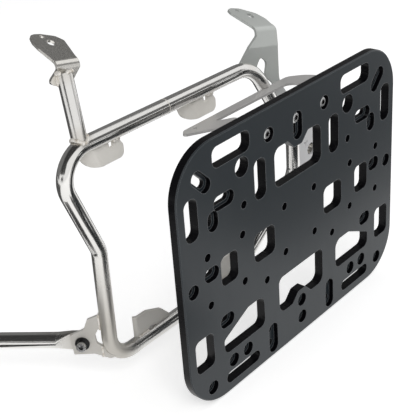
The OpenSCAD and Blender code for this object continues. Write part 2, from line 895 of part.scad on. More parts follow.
// The upper tab hangs from a short neck, with a slit beside it
module upper_tab(x, path) {
    z = on_line(top_front, top_rear, x)[1];
    w = upper_tab_w;
    gap_z = tube_d / 2 + 1;
    color(blasted)
        difference() {
            translate([0, 0, z])
                bent_tab(x, w + 9, wing_l, -22)
                    translate([x, 0])
                        polygon(round_outline(
                            [[w - 7, 0], [w - 6, -gap_z], [w, -gap_z - 8], [w, -upper_tab_h],
                                [5, -upper_tab_h], [-7, -upper_tab_h + 13], [-w, -gap_z - 4],
                                [-w, -gap_z], [w - 20, -gap_z], [w - 19, -gap_z - 6],
                                [w - 14, -gap_z - 6], [w - 13.5, 0]],
                            [0, 3, 6, 8, 8, 8, 0, 0, 1, 1, 1, 0]));
            bent_rod(path, tube_d);
        }
}

// The lower tab stands on the tube, with a lens-shaped gap under its middle
module lower_tab(x) {
    z = on_line(bottom_front, bottom_rear, x)[1];
    w = lower_tab_w;
    h = lower_tab_h;
    color(blasted)
        difference() {
            translate([0, 0, z])
                bent_tab(x, w + 9, low_wing_l, 0)
                    translate([x, 0])
                        difference() {
                            polygon(round_outline(
                                [[w + 1, 0], [w + 1, h - 23], [w - 12, h - 9], [16, h], [-w, h],
                                    [-w, 0]],
                                [0, 10, 10, 14, 0, 0]));
                            translate([w * 0.42, tube_d / 2 - 7])
                                circle(r = 10.5);
                        }
            bent_rod(front_path, tube_d);
            bent_rod(rear_path, tube_d);
            upright_sheet(carrier_y - 2 * sheet_t, 4 * sheet_t)
                polygon([bottom_rear, rear_foot, [rear_foot[0], bottom_rear[1] - 2 * tube_d],
                    bottom_rear - [tube_d, 2 * tube_d]]);
        }
}

// The corner gusset and all that is screwed to it share a frame: X along the cross strut,
// Y square to the gusset on its outboard side, Z up, with the origin in the front upright
module gusset_place() {
    translate([bottom_front[0], carrier_y, 0])
        rotate([0, 0, 180 - strut_angle])
            children();
}

module at_screw() {
    gusset_place()
        translate([strut_screw_r, 0, strut_screw_z])
            children();
}

module corner_gusset() {
    r = strut_screw_r;
    z = strut_screw_z;
    color(blasted)
        difference() {
            gusset_place()
                upright_sheet(-gusset_t / 2, gusset_t)
                    difference() {
                        polygon(round_outline(
                            [[-2, z + 38], [r - 20, z + 35.5], [r - 8, z + 30], [r - 3, z + 17.5],
                                [r + 12.5, z + 9.5], [r + 11, z - 15], [r - 12, z - 13.5],
                                [1, z - 19.5], [-4, z - 18], [-5, z]],
                            [0, 2, 3, 5, 1.5, 1.5, 4, 3, 0, 0]));
                        polygon(round_outline(
                            [[0, z + 19], [10, z + 19], [15, z + 10], [14, z], [8, z - 4],
                                [0, z - 4]],
                            [0, 1, 4, 4, 1, 0]));
                        translate([r, z])
                            circle(d = screw_d + 2 * eye_gap);
                    }
            bent_rod(front_path, tube_d);
        }
}

eye_gap = (eye_d - screw_d) / 2;

// The cross strut: a tube with both its ends pressed flat round an eye
module cross_strut() {
    tube_l = strut_l - 2 * flat_l;
    lap = 1;
    color(steel)
        at_screw()
            translate([0, -gusset_t / 2 - flat_t / 2, 0])
                rotate([0, -strut_rise, 0])
                    difference() {
                        union() {
                            translate([flat_l - lap, 0, 0])
                                rotate([0, 90, 0])
                                    cylinder(d = strut_d, h = tube_l + 2 * lap);
                            for (m = [0, 1])
                                translate([m * strut_l, 0, 0])
                                    mirror([m, 0, 0]) {
                                        pressed_end();
                                        upright_sheet(-flat_t / 2, flat_t)
                                            strut_eye();
                                    }
                        }
                        translate([flat_l, 0, 0])
                            rotate([0, 90, 0])
                                cylinder(d = strut_d - 2 * strut_wall, h = tube_l);
                        for (x = [0, strut_l])
                            translate([x, -flat_t, 0])
                                rotate([-90, 0, 0])
                                    cylinder(d = eye_d, h = 2 * flat_t);
                    }
}

module strut_eye() {
    polygon(round_outline(
        [[-flat_w / 2, -flat_w / 2], [flat_w / 2 + 1, -flat_w / 2], [flat_w / 2 + 1, flat_w / 2],
            [-flat_w / 2, flat_w / 2]],
        [7, 0, 0, 7]));
}

module pressed_end() {
    hull() {
        translate([flat_w / 2, -flat_t / 2 + 0.05, -flat_w / 2 + 0.05])
            cube([1.5, flat_t - 0.1, flat_w - 0.1]);
        translate([flat_l - 1, 0, 0])
            rotate([0, 90, 0])
                cylinder(d = strut_d - 0.1, h = 0.5, $fn = 32);
    }
}

screw_seat_y = gusset_t / 2 + washer_t;

module strut_screw() {
    color(zinc)
        at_screw()
            rotate([90, 0, 0])
                translate([0, 0, -screw_seat_y])
                    difference() {
                        union() {
                            translate([0, 0, -screw_head_h])
                                cylinder(d = screw_head_d, h = screw_head_h);
                            cylinder(d = screw_d, h = washer_t + gusset_t + flat_t + screw_nut_h + 2);
                        }
                        translate([0, 0, -screw_head_h - 1])
                            linear_extrude(screw_head_h * 0.55 + 1)
                                hexagon(socket_af);
                    }
}

module strut_washer() {
    color(zinc)
        at_screw()
            translate([0, gusset_t / 2, 0])
                ring(screw_washer_d, eye_d, washer_t);
}

module strut_nut() {
    color(zinc)
        at_screw()
            translate([0, -gusset_t / 2 - flat_t - screw_nut_h, 0])
                hex_nut(screw_nut_af, screw_d + 2 * thread_gap, screw_nut_h);
}

mounting_plate();
hoop_bracket();
plate_bolt(-plate_bolt_pitch);  // plate_bolt_front
plate_washer(-plate_bolt_pitch);  // plate_washer_front
plate_nut(-plate_bolt_pitch);  // plate_nut_front
plate_bolt(0);  // plate_bolt_middle
plate_washer(0);  // plate_washer_middle
plate_nut(0);  // plate_nut_middle
plate_bolt(plate_bolt_pitch);  // plate_bolt_rear
plate_washer(plate_bolt_pitch);  // plate_washer_rear
plate_nut(plate_bolt_pitch);  // plate_nut_rear
carrier_tube(front_path);  // carrier_tube_front
carrier_tube(rear_path);  // carrier_tube_rear
front_post();
front_top_bracket();
rear_side_bracket();
rear_boss();
upper_tab(upper_tab_x, front_path);  // upper_tab_front
upper_tab(upper_tab_x + tab_pitch, rear_path);  // upper_tab_rear
lower_tab(lower_tab_x);  // lower_tab_front
lower_tab(lower_tab_x + tab_pitch);  // lower_tab_rear
corner_gusset();
cross_strut();
strut_screw();
strut_washer();
strut_nut();
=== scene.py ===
import math

import bpy
from mathutils import Matrix, Vector


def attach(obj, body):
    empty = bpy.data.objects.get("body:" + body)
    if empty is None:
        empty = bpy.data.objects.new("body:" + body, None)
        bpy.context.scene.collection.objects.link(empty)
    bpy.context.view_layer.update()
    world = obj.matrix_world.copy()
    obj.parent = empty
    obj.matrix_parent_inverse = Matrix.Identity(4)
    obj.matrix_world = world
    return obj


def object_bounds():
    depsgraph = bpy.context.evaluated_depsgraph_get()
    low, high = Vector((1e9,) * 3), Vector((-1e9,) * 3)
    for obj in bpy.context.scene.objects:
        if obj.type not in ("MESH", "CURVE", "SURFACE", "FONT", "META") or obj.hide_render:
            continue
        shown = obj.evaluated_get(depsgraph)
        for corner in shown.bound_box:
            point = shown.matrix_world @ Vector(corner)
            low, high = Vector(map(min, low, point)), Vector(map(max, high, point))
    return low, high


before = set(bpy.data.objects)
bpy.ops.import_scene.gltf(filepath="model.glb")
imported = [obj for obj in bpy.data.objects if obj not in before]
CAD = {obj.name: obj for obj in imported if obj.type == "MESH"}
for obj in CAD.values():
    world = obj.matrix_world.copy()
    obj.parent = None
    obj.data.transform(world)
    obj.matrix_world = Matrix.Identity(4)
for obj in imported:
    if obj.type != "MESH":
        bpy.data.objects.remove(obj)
CAD_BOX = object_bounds()
MM = 0.001


# The camera stands where the photograph was taken from.

def photo_camera():
    place = (-0.77798, -0.56416, 0.52855)
    right = Vector((0.63944, -0.76615, -0.06432))
    up = Vector((0.39799, 0.25827, 0.88029))
    turn = Matrix((right, up, right.cross(up))).transposed().to_4x4()
    data = bpy.data.cameras.new("photo_camera")
    data.sensor_width = 36
    data.lens = 84.992
    data.clip_start = 0.01
    data.clip_end = 50
    camera = bpy.data.objects.new("photo_camera", data)
    camera.matrix_world = Matrix.Translation(place) @ turn
    bpy.context.scene.collection.objects.link(camera)
    bpy.context.scene.camera = camera


photo_camera()
bpy.context.scene.view_settings.view_transform = "Standard"


# Nodes for materials and for repeated shapes, added one by one or by plain expressions.

class Value:
    """A node's output. Plain operators on it add Math nodes."""

    def __init__(self, nodes, node, output):
        self.nodes = nodes
        self.node = node
        self.socket = node.outputs[output]

    def out(self, output):
        return Value(self.nodes, self.node, output)

    def maths(self, operation, *values, clamp=False):
        settings = {"operation": operation, "use_clamp": clamp}
        return self.nodes.add("ShaderNodeMath", settings, dict(enumerate(values)))

    def __add__(self, other):
        return self.maths("ADD", self, other)

    def __radd__(self, other):
        return self.maths("ADD", other, self)

    def __sub__(self, other):
        return self.maths("SUBTRACT", self, other)

    def __rsub__(self, other):
        return self.maths("SUBTRACT", other, self)

    def __mul__(self, other):
        return self.maths("MULTIPLY", self, other)

    def __rmul__(self, other):
        return self.maths("MULTIPLY", other, self)

    def __truediv__(self, other):
        return self.maths("DIVIDE", self, other)

    def clamped(self):
        return self.maths("ADD", self, 0.0, clamp=True)

    def absolute(self):
        return self.maths("ABSOLUTE", self)

    def or_more(self, other):
        return self.maths("MAXIMUM", self, other)

    def between(self, low, high):
        """Runs from low to high where the value runs from 0 to 1."""
        return low + self * (high - low)


class Nodes:
    """A node tree that is filled one node at a time."""

    def __init__(self, tree):
        self.tree = tree

    def add(self, kind, settings=None, values=None, output=0):
        node = self.tree.nodes.new(kind)
        for name, setting in (settings or {}).items():
            if name == "stops":
                self.fill_ramp(node.color_ramp, setting)
            else:
                setattr(node, name, setting)
        for name, value in (values or {}).items():
            socket = node.inputs[name]
            if isinstance(value, Value):
                self.tree.links.new(value.socket, socket)
            else:
                socket.default_value = value
        return Value(self, node, output)

    def fill_ramp(self, ramp, stops):
        while len(ramp.elements) < len(stops):
            ramp.elements.new(0.5)
        for element, (place, shade) in zip(ramp.elements, stops):
            element.position = place
            element.color = (shade, shade, shade, 1) if isinstance(shade, float) else shade


class Finish(Nodes):
    """A material on Object coordinates, in metres."""

    def __init__(self, name):
        self.material = bpy.data.materials.new(name)
        self.material.use_nodes = True
        super().__init__(self.material.node_tree)
        self.tree.nodes.clear()
        self.place = self.add("ShaderNodeTexCoord", output="Object")

    def along(self, axis):
        """The place along one axis of the object, in metres."""
        return self.add("ShaderNodeSeparateXYZ", {}, {0: self.place}, output=axis)

    def noise(self, scale, detail, roughness=0.5, stretch=(1, 1, 1)):
        where = self.add("ShaderNodeMapping", {}, {"Vector": self.place, "Scale": stretch})
        return self.add("ShaderNodeTexNoise", {}, {"Vector": where, "Scale": scale,
                        "Detail": detail, "Roughness": roughness}, output="Fac")

    def steps(self, mask, *stops):
        """A ramp of the mask, with its stops as pairs of a place and a shade."""
        return self.add("ShaderNodeValToRGB", {"stops": stops}, {"Fac": mask})

    def mix(self, mask, colour_a, colour_b):
        return self.add("ShaderNodeMix", {"data_type": "RGBA"},
                        {0: mask, 6: colour_a, 7: colour_b}, output=2)

    def soft_edge(self, radius):
        return self.add("ShaderNodeBevel", {"samples": 6}, {"Radius": radius})

    def edge_mask(self, soft, low, high):
        """Is 1 on sharp edges and 0 on open faces."""
        true = self.add("ShaderNodeNewGeometry", output="Normal")
        bend = self.add("ShaderNodeVectorMath", {"operation": "DOT_PRODUCT"},
                        {0: soft, 1: true}, output="Value")
        return self.steps(1 - bend, (low, 0.0), (high, 1.0))

    def cut_wall(self):
        """Is 1 on walls square to the plate's face and 0 on its face and back. The plate paints
        shade on these walls.
        """
        true = self.add("ShaderNodeNewGeometry", output="True Normal")
        local = self.add("ShaderNodeVectorTransform",
                         {"vector_type": "NORMAL", "convert_from": "WORLD",
                          "convert_to": "OBJECT"}, {0: true})
        across = self.add("ShaderNodeSeparateXYZ", {}, {0: local}, output="Y")
        return self.steps(across.absolute(), (0.25, 1.0), (0.55, 0.0))

    def near(self, spots, radius):
        """Is 1 at any of the spots and falls to 0 at the radius."""
        total = None
        for spot in spots:
            gap = self.add("ShaderNodeVectorMath", {"operation": "DISTANCE"},
                           {0: self.place, 1: spot}, output="Value")
            one = (1 - gap / radius).clamped()
            total = one if total is None else total.or_more(one)
        return total

    def bump(self, height, strength, distance, normal=None):
        values = {"Height": height, "Strength": strength, "Distance": distance}
        if normal:
            values["Normal"] = normal
        return self.add("ShaderNodeBump", {}, values)

    def skin(self, **values):
        named = {name.replace("_", " "): value for name, value in values.items()}
        return self.add("ShaderNodeBsdfPrincipled", {}, named)

    def wear(self, shader):
        """Puts the shader on the surface and hands the material over."""
        end = self.tree.nodes.new("ShaderNodeOutputMaterial")
        self.tree.links.new(shader.socket, end.inputs["Surface"])
        return self.material

    def done(self, **values):
        return self.wear(self.skin(**values))


# Places that the finishes and the welds share, in metres.

CARRIER_Y = 0.110
TUBE_R = 0.0085
TOP_FRONT_X, TOP_FRONT_Z = -0.2455, 0.1415
TOP_REAR_X, TOP_REAR_Z = 0.0638, 0.138
TOP_SLOPE = (TOP_REAR_Z - TOP_FRONT_Z) / (TOP_REAR_X - TOP_FRONT_X)


def on_top_tube(x):
    return Vector((x, CARRIER_Y, TOP_FRONT_Z + TOP_SLOPE * (x - TOP_FRONT_X)))


POST_R = 0.008
POST_LENGTH = 0.073
POST_LEAN = math.radians(12.5)
POST_RAKE = math.radians(4)
POST_FOOT = on_top_tube(-0.204)
POST_DIR = (Matrix.Rotation(-POST_LEAN, 3, "X")
            @ Matrix.Rotation(POST_RAKE, 3, "Y") @ Vector((0, 0, 1)))
POST_TOP = POST_FOOT + POST_DIR * POST_LENGTH
TAB_NECKS = [(-0.1630, -0.1565), (-0.0170, -0.0105)]
LOW_TABS = [-0.160, -0.014]
BOTTOM_Z = -0.117
UPRIGHT_X = -0.2015
PLATE_BOLT_X = (-0.050, 0.0, 0.050)
PLATE_BOLT_Z = 0.1205
PLATE_SOCKET_Y = 0.0038
STRUT_SOCKET = (-0.2255, 0.1294, -0.092)
SOCKET_SHADE_SPOTS = [(x, PLATE_SOCKET_Y, PLATE_BOLT_Z) for x in PLATE_BOLT_X] + [STRUT_SOCKET]
REAR_BRACKET_FOOT = Vector((0.058, 0.115, 0.139))
UP_TO_SKIN = Vector((0, 0, TUBE_R))
HEAT_SPOTS = [POST_FOOT + UP_TO_SKIN, POST_TOP, REAR_BRACKET_FOOT]
HEAT_SPOTS += [on_top_tube(sum(neck) / 2) - UP_TO_SKIN for neck in TAB_NECKS]


def plate_plastic():
    """Machined black plastic board: fine grain, paler rims as a painted highlight and near-black
    cut walls as painted shade.
    """
    f = Finish("plate_plastic")
    cloudy = f.noise(9, 2)
    grain = f.noise(1400, 2, 0.6)
    scuffs = f.noise(60, 5, 0.7, (1, 1, 0.3))
    cuts = f.noise(700, 2, 0.5, (1, 0.06, 1))
    soft = f.soft_edge(1.1 * MM)
    edge_highlight = f.edge_mask(soft, 0.02, 0.25)
    base = f.mix(cloudy, (0.009, 0.014, 0.018, 1), (0.014, 0.020, 0.025, 1))
    # Paler rims: a painted highlight along the plate's edges.
    base = f.mix(edge_highlight * 0.9, base, (0.260, 0.270, 0.280, 1))
    rough = grain.between(0.30, 0.40) + f.steps(scuffs, (0.45, 0.0), (0.8, 1.0)) * 0.06
    face = f.skin(Base_Color=base, Roughness=rough, IOR=1.45,
                  Normal=f.bump(grain, 0.12, 0.1 * MM, soft))
    # Cut walls: near-black as painted shade, with paler rims as a painted highlight.
    painted_wall_shade_and_rims = f.mix(edge_highlight * 0.8, (0.002, 0.002, 0.003, 1), (0.160, 0.168, 0.176, 1))
    wall = f.skin(Base_Color=painted_wall_shade_and_rims, Roughness=cuts.between(0.22, 0.36), IOR=1.25,
                  Normal=f.bump(cuts, 0.10, 0.1 * MM, soft))
    return f.wear(f.add("ShaderNodeMixShader", {}, {0: f.cut_wall(), 1: face, 2: wall}))


def polished_steel():
    """Polished stainless tube: sharp above, rougher low down with a darker colour there as
    painted shade, and straw tint at welds.
    """
    f = Finish("polished_steel")
    lines = f.noise(900, 2, 0.5, (0.05, 1, 0.05))
    waves = f.noise(70, 2)
    height = f.along("Z")
    aside = (f.along("X") - UPRIGHT_X).absolute()
    low_down = f.steps(1 - (height + 0.13) / 0.26, (0.35, 0.0), (0.75, 1.0))
    low_down = low_down * f.steps(aside * 10, (0.14, 1.0), (0.42, 0.0))
    heat = f.near(HEAT_SPOTS, 0.016)
    # Low down by the upright the colour is darker: painted shade.
    base = f.mix(low_down, (0.75, 0.74, 0.72, 1), (0.52, 0.50, 0.46, 1))
    base = f.mix(heat * 0.45, base, (0.42, 0.36, 0.28, 1))
    near_floor = f.steps(height * -8, (0.60, 0.0), (0.88, 1.0))
    rough = lines.between(0.11, 0.19) + low_down * 0.24 + near_floor * 0.05 + heat * 0.12
    return f.done(Base_Color=base, Metallic=1.0, Roughness=rough,
                  Normal=f.bump(waves, 0.05, 0.6 * MM, f.soft_edge(0.4 * MM)))


def brushed_sheet(name, metallic, dark, pale, smooth):
    """Brushed sheet with its grain along the plate, paler at its edges as a painted highlight,
    and painted pale and non-metallic low down as painted light.
    """
    f = Finish(name)
    lines = f.noise(1100, 3, 0.6, (0.03, 1, 1))
    smear = f.noise(30, 3, 0.5, (0.3, 1, 1))
    soft = f.soft_edge(0.5 * MM)
    edge_highlight = f.edge_mask(soft, 0.02, 0.3)
    base = f.mix(smear, dark, pale)
    # Paler edges: a painted highlight.
    base = f.mix(edge_highlight * 0.5, base, (0.82, 0.81, 0.79, 1))
    # Low down the sheet is painted pale and non-metallic: painted light.
    low_down = f.steps(f.along("Z") * 5, (0.30, 1.0), (0.50, 0.0))
    base = f.mix(low_down, base, (0.88, 0.88, 0.89, 1))
    rough = lines.between(smooth, smooth + 0.14)
    return f.done(Base_Color=base, Metallic=metallic - low_down * metallic, Roughness=rough,
                  Normal=f.bump(lines, 0.08, 0.05 * MM, soft))


def blasted_steel(name, shade, metallic):
    """Bead-blasted stainless: matt, warm grey and finely speckled, with a painted highlight along
    its edges and folds.
    """
    f = Finish(name)
    speckle = f.noise(2600, 3, 0.7)
    stain = f.noise(45, 3)
    soft = f.soft_edge(0.8 * MM)
    edge_highlight = f.edge_mask(soft, 0.003, 0.035)
    dark, pale = [(tone, tone * 0.97, tone * 0.91, 1) for tone in (shade * 0.86, shade * 1.06)]
    base = f.mix(speckle, dark, pale)
    base = f.mix(f.steps(stain, (0.45, 0.0), (0.75, 1.0)) * 0.25, base, (0.50, 0.46, 0.40, 1))
    # Paler edges and folds: a painted highlight.
    base = f.mix(edge_highlight * 0.6, base, (0.97, 0.95, 0.91, 1))
    return f.done(Base_Color=base, Metallic=metallic, Roughness=speckle.between(0.42, 0.60),
                  Normal=f.bump(speckle, 0.25, 0.08 * MM, soft))


def hoop_sheet():
    """The hoop's sheet: satin stainless, a plain mid grey with fine lines along it and a painted
    highlight on its edges.
    """
    f = Finish("hoop_sheet")
    lines = f.noise(800, 3, 0.6, (0.04, 1, 1))
    cloud = f.noise(25, 3)
    soft = f.soft_edge(0.5 * MM)
    edge_highlight = f.edge_mask(soft, 0.02, 0.3)
    base = f.mix(cloud, (0.50, 0.49, 0.48, 1), (0.60, 0.59, 0.58, 1))
    # Paler edges: a painted highlight.
    base = f.mix(edge_highlight * 0.6, base, (0.82, 0.81, 0.80, 1))
    return f.done(Base_Color=base, Metallic=0.35, Roughness=lines.between(0.34, 0.46),
                  Normal=f.bump(lines, 0.08, 0.05 * MM, soft))


def dark_washer():
    """The strut's washer, near-black metal."""
    f = Finish("dark_washer")
    marks = f.noise(400, 3, 0.6)
    base = f.mix(marks, (0.02, 0.02, 0.02, 1), (0.05, 0.05, 0.05, 1))
    return f.done(Base_Color=base, Metallic=0.9, Roughness=marks.between(0.25, 0.4),
                  Normal=f.soft_edge(0.3 * MM))


def zinc_steel():
    """Bright zinc on bolts, nuts and washers, with painted shade inside the sockets of the heads.
    """
    f = Finish("zinc_steel")
    marks = f.noise(500, 4, 0.6)
    soft = f.soft_edge(0.3 * MM)
    base = f.mix(marks, (0.46, 0.46, 0.47, 1), (0.66, 0.66, 0.65, 1))
    # Dark sockets: painted shade in the heads' recesses.
    socket = f.steps(f.near(SOCKET_SHADE_SPOTS, 3.4 * MM), (0.10, 0.0), (0.22, 1.0))
    base = f.mix(socket, base, (0.030, 0.030, 0.030, 1))
    return f.done(Base_Color=base, Metallic=1.0, Roughness=marks.between(0.16, 0.34),
                  Normal=f.bump(marks, 0.06, 0.1 * MM, soft))


def weld_metal():
    """A weld's ripples: bright, with straw-brown patches."""
    f = Finish("weld_metal")
    tint = f.noise(260, 3)
    ripple = f.noise(520, 2, 0.5)
    base = f.mix(f.steps(tint, (0.45, 0.0), (0.8, 1.0)), (0.88, 0.85, 0.80, 1),
                 (0.46, 0.39, 0.30, 1))
    return f.done(Base_Color=base, Metallic=0.3, Roughness=tint.between(0.22, 0.40),
                  Normal=f.bump(ripple, 0.3, 0.3 * MM))


FINISH = {
    "plate": plate_plastic(),
    "tube": polished_steel(),
    "sheet": brushed_sheet("brushed_sheet", 1.0, (0.68, 0.66, 0.62, 1), (0.80, 0.78, 0.74, 1),
                           0.16),
    # The rear sheet is a darker, greener copy of the same brushed sheet: painted shade.
    "rear sheet": brushed_sheet("rear_sheet", 0.45, (0.46, 0.48, 0.46, 1), (0.56, 0.58, 0.56, 1),
                                0.26),
    "hoop": hoop_sheet(),
    "washer": dark_washer(),
    # One blasted steel in three tones: the upper tabs' paler tone is painted light, the low tab's
    # and the gusset's darker tones are painted shade.
    "tab": blasted_steel("blasted_tab", 0.93, 0.10),
    "low tab": blasted_steel("blasted_low_tab", 0.60, 0.35),
    "gusset": blasted_steel("blasted_gusset", 0.66, 0.35),
    "zinc": zinc_steel(),
    "weld": weld_metal(),
}
FINISH_OF_NODE = {
    "mounting_plate": "plate",
    "hoop_bracket": "hoop", "front_top_bracket": "sheet", "rear_side_bracket": "rear sheet",
    "strut_washer": "washer",
    "rear_boss": "tube",
    "carrier_tube_front": "tube", "carrier_tube_rear": "tube", "front_post": "tube",
    "cross_strut": "tube",
    "upper_tab_front": "tab", "upper_tab_rear": "tab",
    # The rear lower tab takes the paler tab tone: painted light.
    "lower_tab_front": "low tab", "lower_tab_rear": "tab", "corner_gusset": "gusset",
}
for name, node in CAD.items():
    node.data.materials.clear()
    node.data.materials.append(FINISH[FINISH_OF_NODE.get(name, "zinc")])


# Weld beads: each path runs along a joint, and Geometry Nodes lay overlapping ripples on it.
# The rear bend is in millimetres and the rest in metres.

RING_STEPS = 36
RIM_STEPS = 8
POST_BASE_STEPS = 48
HALVINGS = 24
SKIN_SEARCH = 0.04
SKIN_LIFT = 0.0003
PHOTO_SIDE = Vector((-0.746, -0.667, 0))
FRONT_FOOT_Y = 0.1285
FRONT_FOOT_REACH = (0.061, 0.0725)
POST_RIM_R = 0.0074
GUSSET_TURN = math.radians(180 - 56)
GUSSET_REACH = 0.0083
GUSSET_HALF_T = 0.002
REAR_BEND_START = (56, 116.3, 139.2)
REAR_BEND_LENGTH = 24
REAR_BEND_FALL = 0.383
REAR_BEND_CURL = 0.0068
BOSS_FOOT = Vector((0.1895, 0.1201, -0.0175))
BOSS_WELD_R = 0.0108
TOP_SEAM_X, BOTTOM_SEAM_X = -0.084, -0.075
SEAM_R = 0.0079
THREAD_ENDS_Y = (0.0226, 0.0243)


def around(axis):
    """Two directions square to the axis and to each other. The axis can't be Y itself."""
    side = axis.cross(Vector((0, 1, 0))).normalized()
    return side, axis.cross(side).normalized()


def post_base_path():
    """Where the post's skin meets the top tube's skin."""
    along = (on_top_tube(0) - on_top_tube(-0.2)).normalized()
    side, other = around(POST_DIR)
    path = []
    for step in range(POST_BASE_STEPS):
        turn = 2 * math.pi * step / POST_BASE_STEPS
        skin = POST_FOOT + (side * math.cos(turn) + other * math.sin(turn)) * POST_R
        low, high = 0.0, SKIN_SEARCH
        for _ in range(HALVINGS):
            middle = (low + high) / 2
            gap = skin + POST_DIR * middle - POST_FOOT
            inside = (gap - along * gap.dot(along)).length < TUBE_R
            low, high = (middle, high) if inside else (low, middle)
        path.append(skin + POST_DIR * (high + SKIN_LIFT))
    return path


def post_top_path():
    """Along the post's back, where the front bracket's foot lies on it."""
    side, other = around(POST_DIR)
    path = []
    for step in range(-20, 21):
        turn = math.radians(90 + 3.4 * step)
        ring = side * math.cos(turn) + other * math.sin(turn)
        skin = ring if ring.y > 0 else -ring
        start = POST_FOOT + skin * POST_R
        path.append(start + POST_DIR * ((FRONT_FOOT_Y - start.y) / POST_DIR.y))
    low, high = FRONT_FOOT_REACH
    return [point for point in path if low < (point - POST_FOOT).dot(POST_DIR) < high]


def post_rim_path(start, end):
    """Along the post's top rim, between two turns in degrees from the side facing the photo."""
    facing = (PHOTO_SIDE - POST_DIR * PHOTO_SIDE.dot(POST_DIR)).normalized()
    across = POST_DIR.cross(facing)
    path = []
    for step in range(RIM_STEPS + 1):
        turn = math.radians(start + (end - start) * step / RIM_STEPS)
        path.append(POST_TOP + (facing * math.cos(turn) + across * math.sin(turn)) * POST_RIM_R)
    return path


def neck_path(first, last, height, half_t, lift):
    """Round the root of a tab: along its front, past its end and back behind it."""
    front = CARRIER_Y - half_t
    back = CARRIER_Y + half_t
    corners = ((first, front), (last, front), (last, back), (first, back), (first, front))
    return [Vector((x, y, height(x) + lift)) for x, y in corners]


def ring_path(centre, axis, radius):
    """Once round the axis."""
    side, other = around(axis)
    path = []
    for step in range(RING_STEPS + 1):
        turn = 2 * math.pi * step / RING_STEPS
        path.append(centre + (side * math.cos(turn) + other * math.sin(turn)) * radius)
    return path


def gusset_path(low, high, face):
    """Up the joint of the corner gusset and the front upright, on one of the gusset's faces."""
    outward = Vector((math.cos(GUSSET_TURN), math.sin(GUSSET_TURN), 0))
    square = Vector((-math.sin(GUSSET_TURN), math.cos(GUSSET_TURN), 0))
    upright = Vector((UPRIGHT_X, CARRIER_Y, 0))
    foot = upright + outward * GUSSET_REACH + square * face * GUSSET_HALF_T
    return [foot + Vector((0, 0, low)), foot + Vector((0, 0, high))]


def path_tree(name, size):
    """A tree that takes a path, one size and a pitch, and its input node."""
    tree = bpy.data.node_groups.new(name, "GeometryNodeTree")
    for given, kind in (("Path", "Geometry"), (size, "Float"), ("Pitch", "Float")):
        tree.interface.new_socket(given, in_out="INPUT", socket_type="NodeSocket" + kind)
    tree.interface.new_socket("Laid", in_out="OUTPUT", socket_type="NodeSocketGeometry")
    n = Nodes(tree)
    return n, n.add("NodeGroupInput", output="Path")


def set_on_path(n, given, shape, sizes):
    """Sets the shape on the path one pitch apart, square to it, as a plain mesh."""
    curve = n.add("GeometryNodeMeshToCurve", {}, {"Mesh": given})
    even = n.add("GeometryNodeResampleCurve", {"mode": "LENGTH"},
                 {"Curve": curve, "Length": given.out("Pitch")})
    tangent = n.add("GeometryNodeInputTangent")
    turned = n.add("FunctionNodeAlignRotationToVector", {"axis": "Z"}, {"Vector": tangent})
    laid = n.add("GeometryNodeInstanceOnPoints", {},
                 {"Points": even, "Instance": shape, "Rotation": turned, **sizes})
    return n.add("GeometryNodeRealizeInstances", {}, {"Geometry": laid})


def painted(n, mesh, finish):
    """Ends the tree with the mesh in its finish."""
    done = n.add("GeometryNodeSetMaterial", {}, {"Geometry": mesh, "Material": finish})
    end = n.tree.nodes.new("NodeGroupOutput")
    n.tree.links.new(done.socket, end.inputs["Laid"])
    return n.tree


def bead_tree():
    """Weld ripples: overlapping drops of slightly uneven size."""
    n, given = path_tree("weld_bead", "Bead radius")
    ripple = n.add("GeometryNodeMeshUVSphere", {},
                   {"Segments": 10, "Rings": 6, "Radius": given.out("Bead radius")})
    uneven = n.add("FunctionNodeRandomValue", {"data_type": "FLOAT"},
                   {2: 0.86, 3: 1.12, "Seed": 7}, output=1)
    whole = set_on_path(n, given, ripple, {"Scale": uneven})
    smooth = n.add("GeometryNodeSetShadeSmooth", {}, {"Geometry": whole})
    return painted(n, smooth, FINISH["weld"])


def thread_tree():
    """Thread crests: rings of a three-sided section, one pitch apart."""
    n, given = path_tree("bolt_thread", "Crest radius")
    ring = n.add("GeometryNodeCurvePrimitiveCircle", {"mode": "RADIUS"},
                 {"Resolution": 24, "Radius": given.out("Crest radius")})
    section = n.add("GeometryNodeCurvePrimitiveCircle", {"mode": "RADIUS"},
                    {"Resolution": 3, "Radius": 0.4 * MM})
    crest = n.add("GeometryNodeCurveToMesh", {}, {"Curve": ring, "Profile Curve": section})
    return painted(n, set_on_path(n, given, crest, {}), FINISH["zinc"])


def laid_along(name, paths, tree, slot, finish, **sizes):
    """Lays a tree's repeated shape along the paths and keeps the result as one plain piece."""
    points, edges = [], []
    for path in paths:
        edges += [(len(points) + i, len(points) + i + 1) for i in range(len(path) - 1)]
        points += path
    mesh = bpy.data.meshes.new(name + "_path")
    mesh.from_pydata(points, edges, [])
    piece = bpy.data.objects.new(name, mesh)
    bpy.context.scene.collection.objects.link(piece)
    modifier = piece.modifiers.new("lay", "NODES")
    modifier.node_group = tree
    for item in tree.interface.items_tree:
        size = item.name.replace(" ", "_").lower()
        if item.in_out == "INPUT" and size in sizes:
            modifier[item.identifier] = sizes[size]
    laid = piece.evaluated_get(bpy.context.evaluated_depsgraph_get())
    made = bpy.data.meshes.new_from_object(laid)
    piece.modifiers.clear()
    piece.data = made
    made.materials.clear()
    made.materials.append(finish)
    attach(piece, "root")


def top_tube_height(x):
    return on_top_tube(x).z


def bottom_tube_height(_):
    return BOTTOM_Z


BEAD = bead_tree()
THREAD = thread_tree()


def weld(name, *paths, radius, pitch=0.9):
    """A bead along the paths, with its ripples' radius and pitch in millimetres."""
    laid_along(name, paths, BEAD, "polished_steel", FINISH["weld"],
               bead_radius=radius * MM, pitch=pitch * MM)


def rear_bend_path():
    """Down the tube's rear bend, along the back of the tube where the sheet lies on it."""
    x, y, z = REAR_BEND_START
    path = []
    for along in range(0, REAR_BEND_LENGTH + 1, 2):
        drop = REAR_BEND_FALL * along + REAR_BEND_CURL * along * along
        path.append(Vector((x + along, y, z - drop)) * MM)
    return path


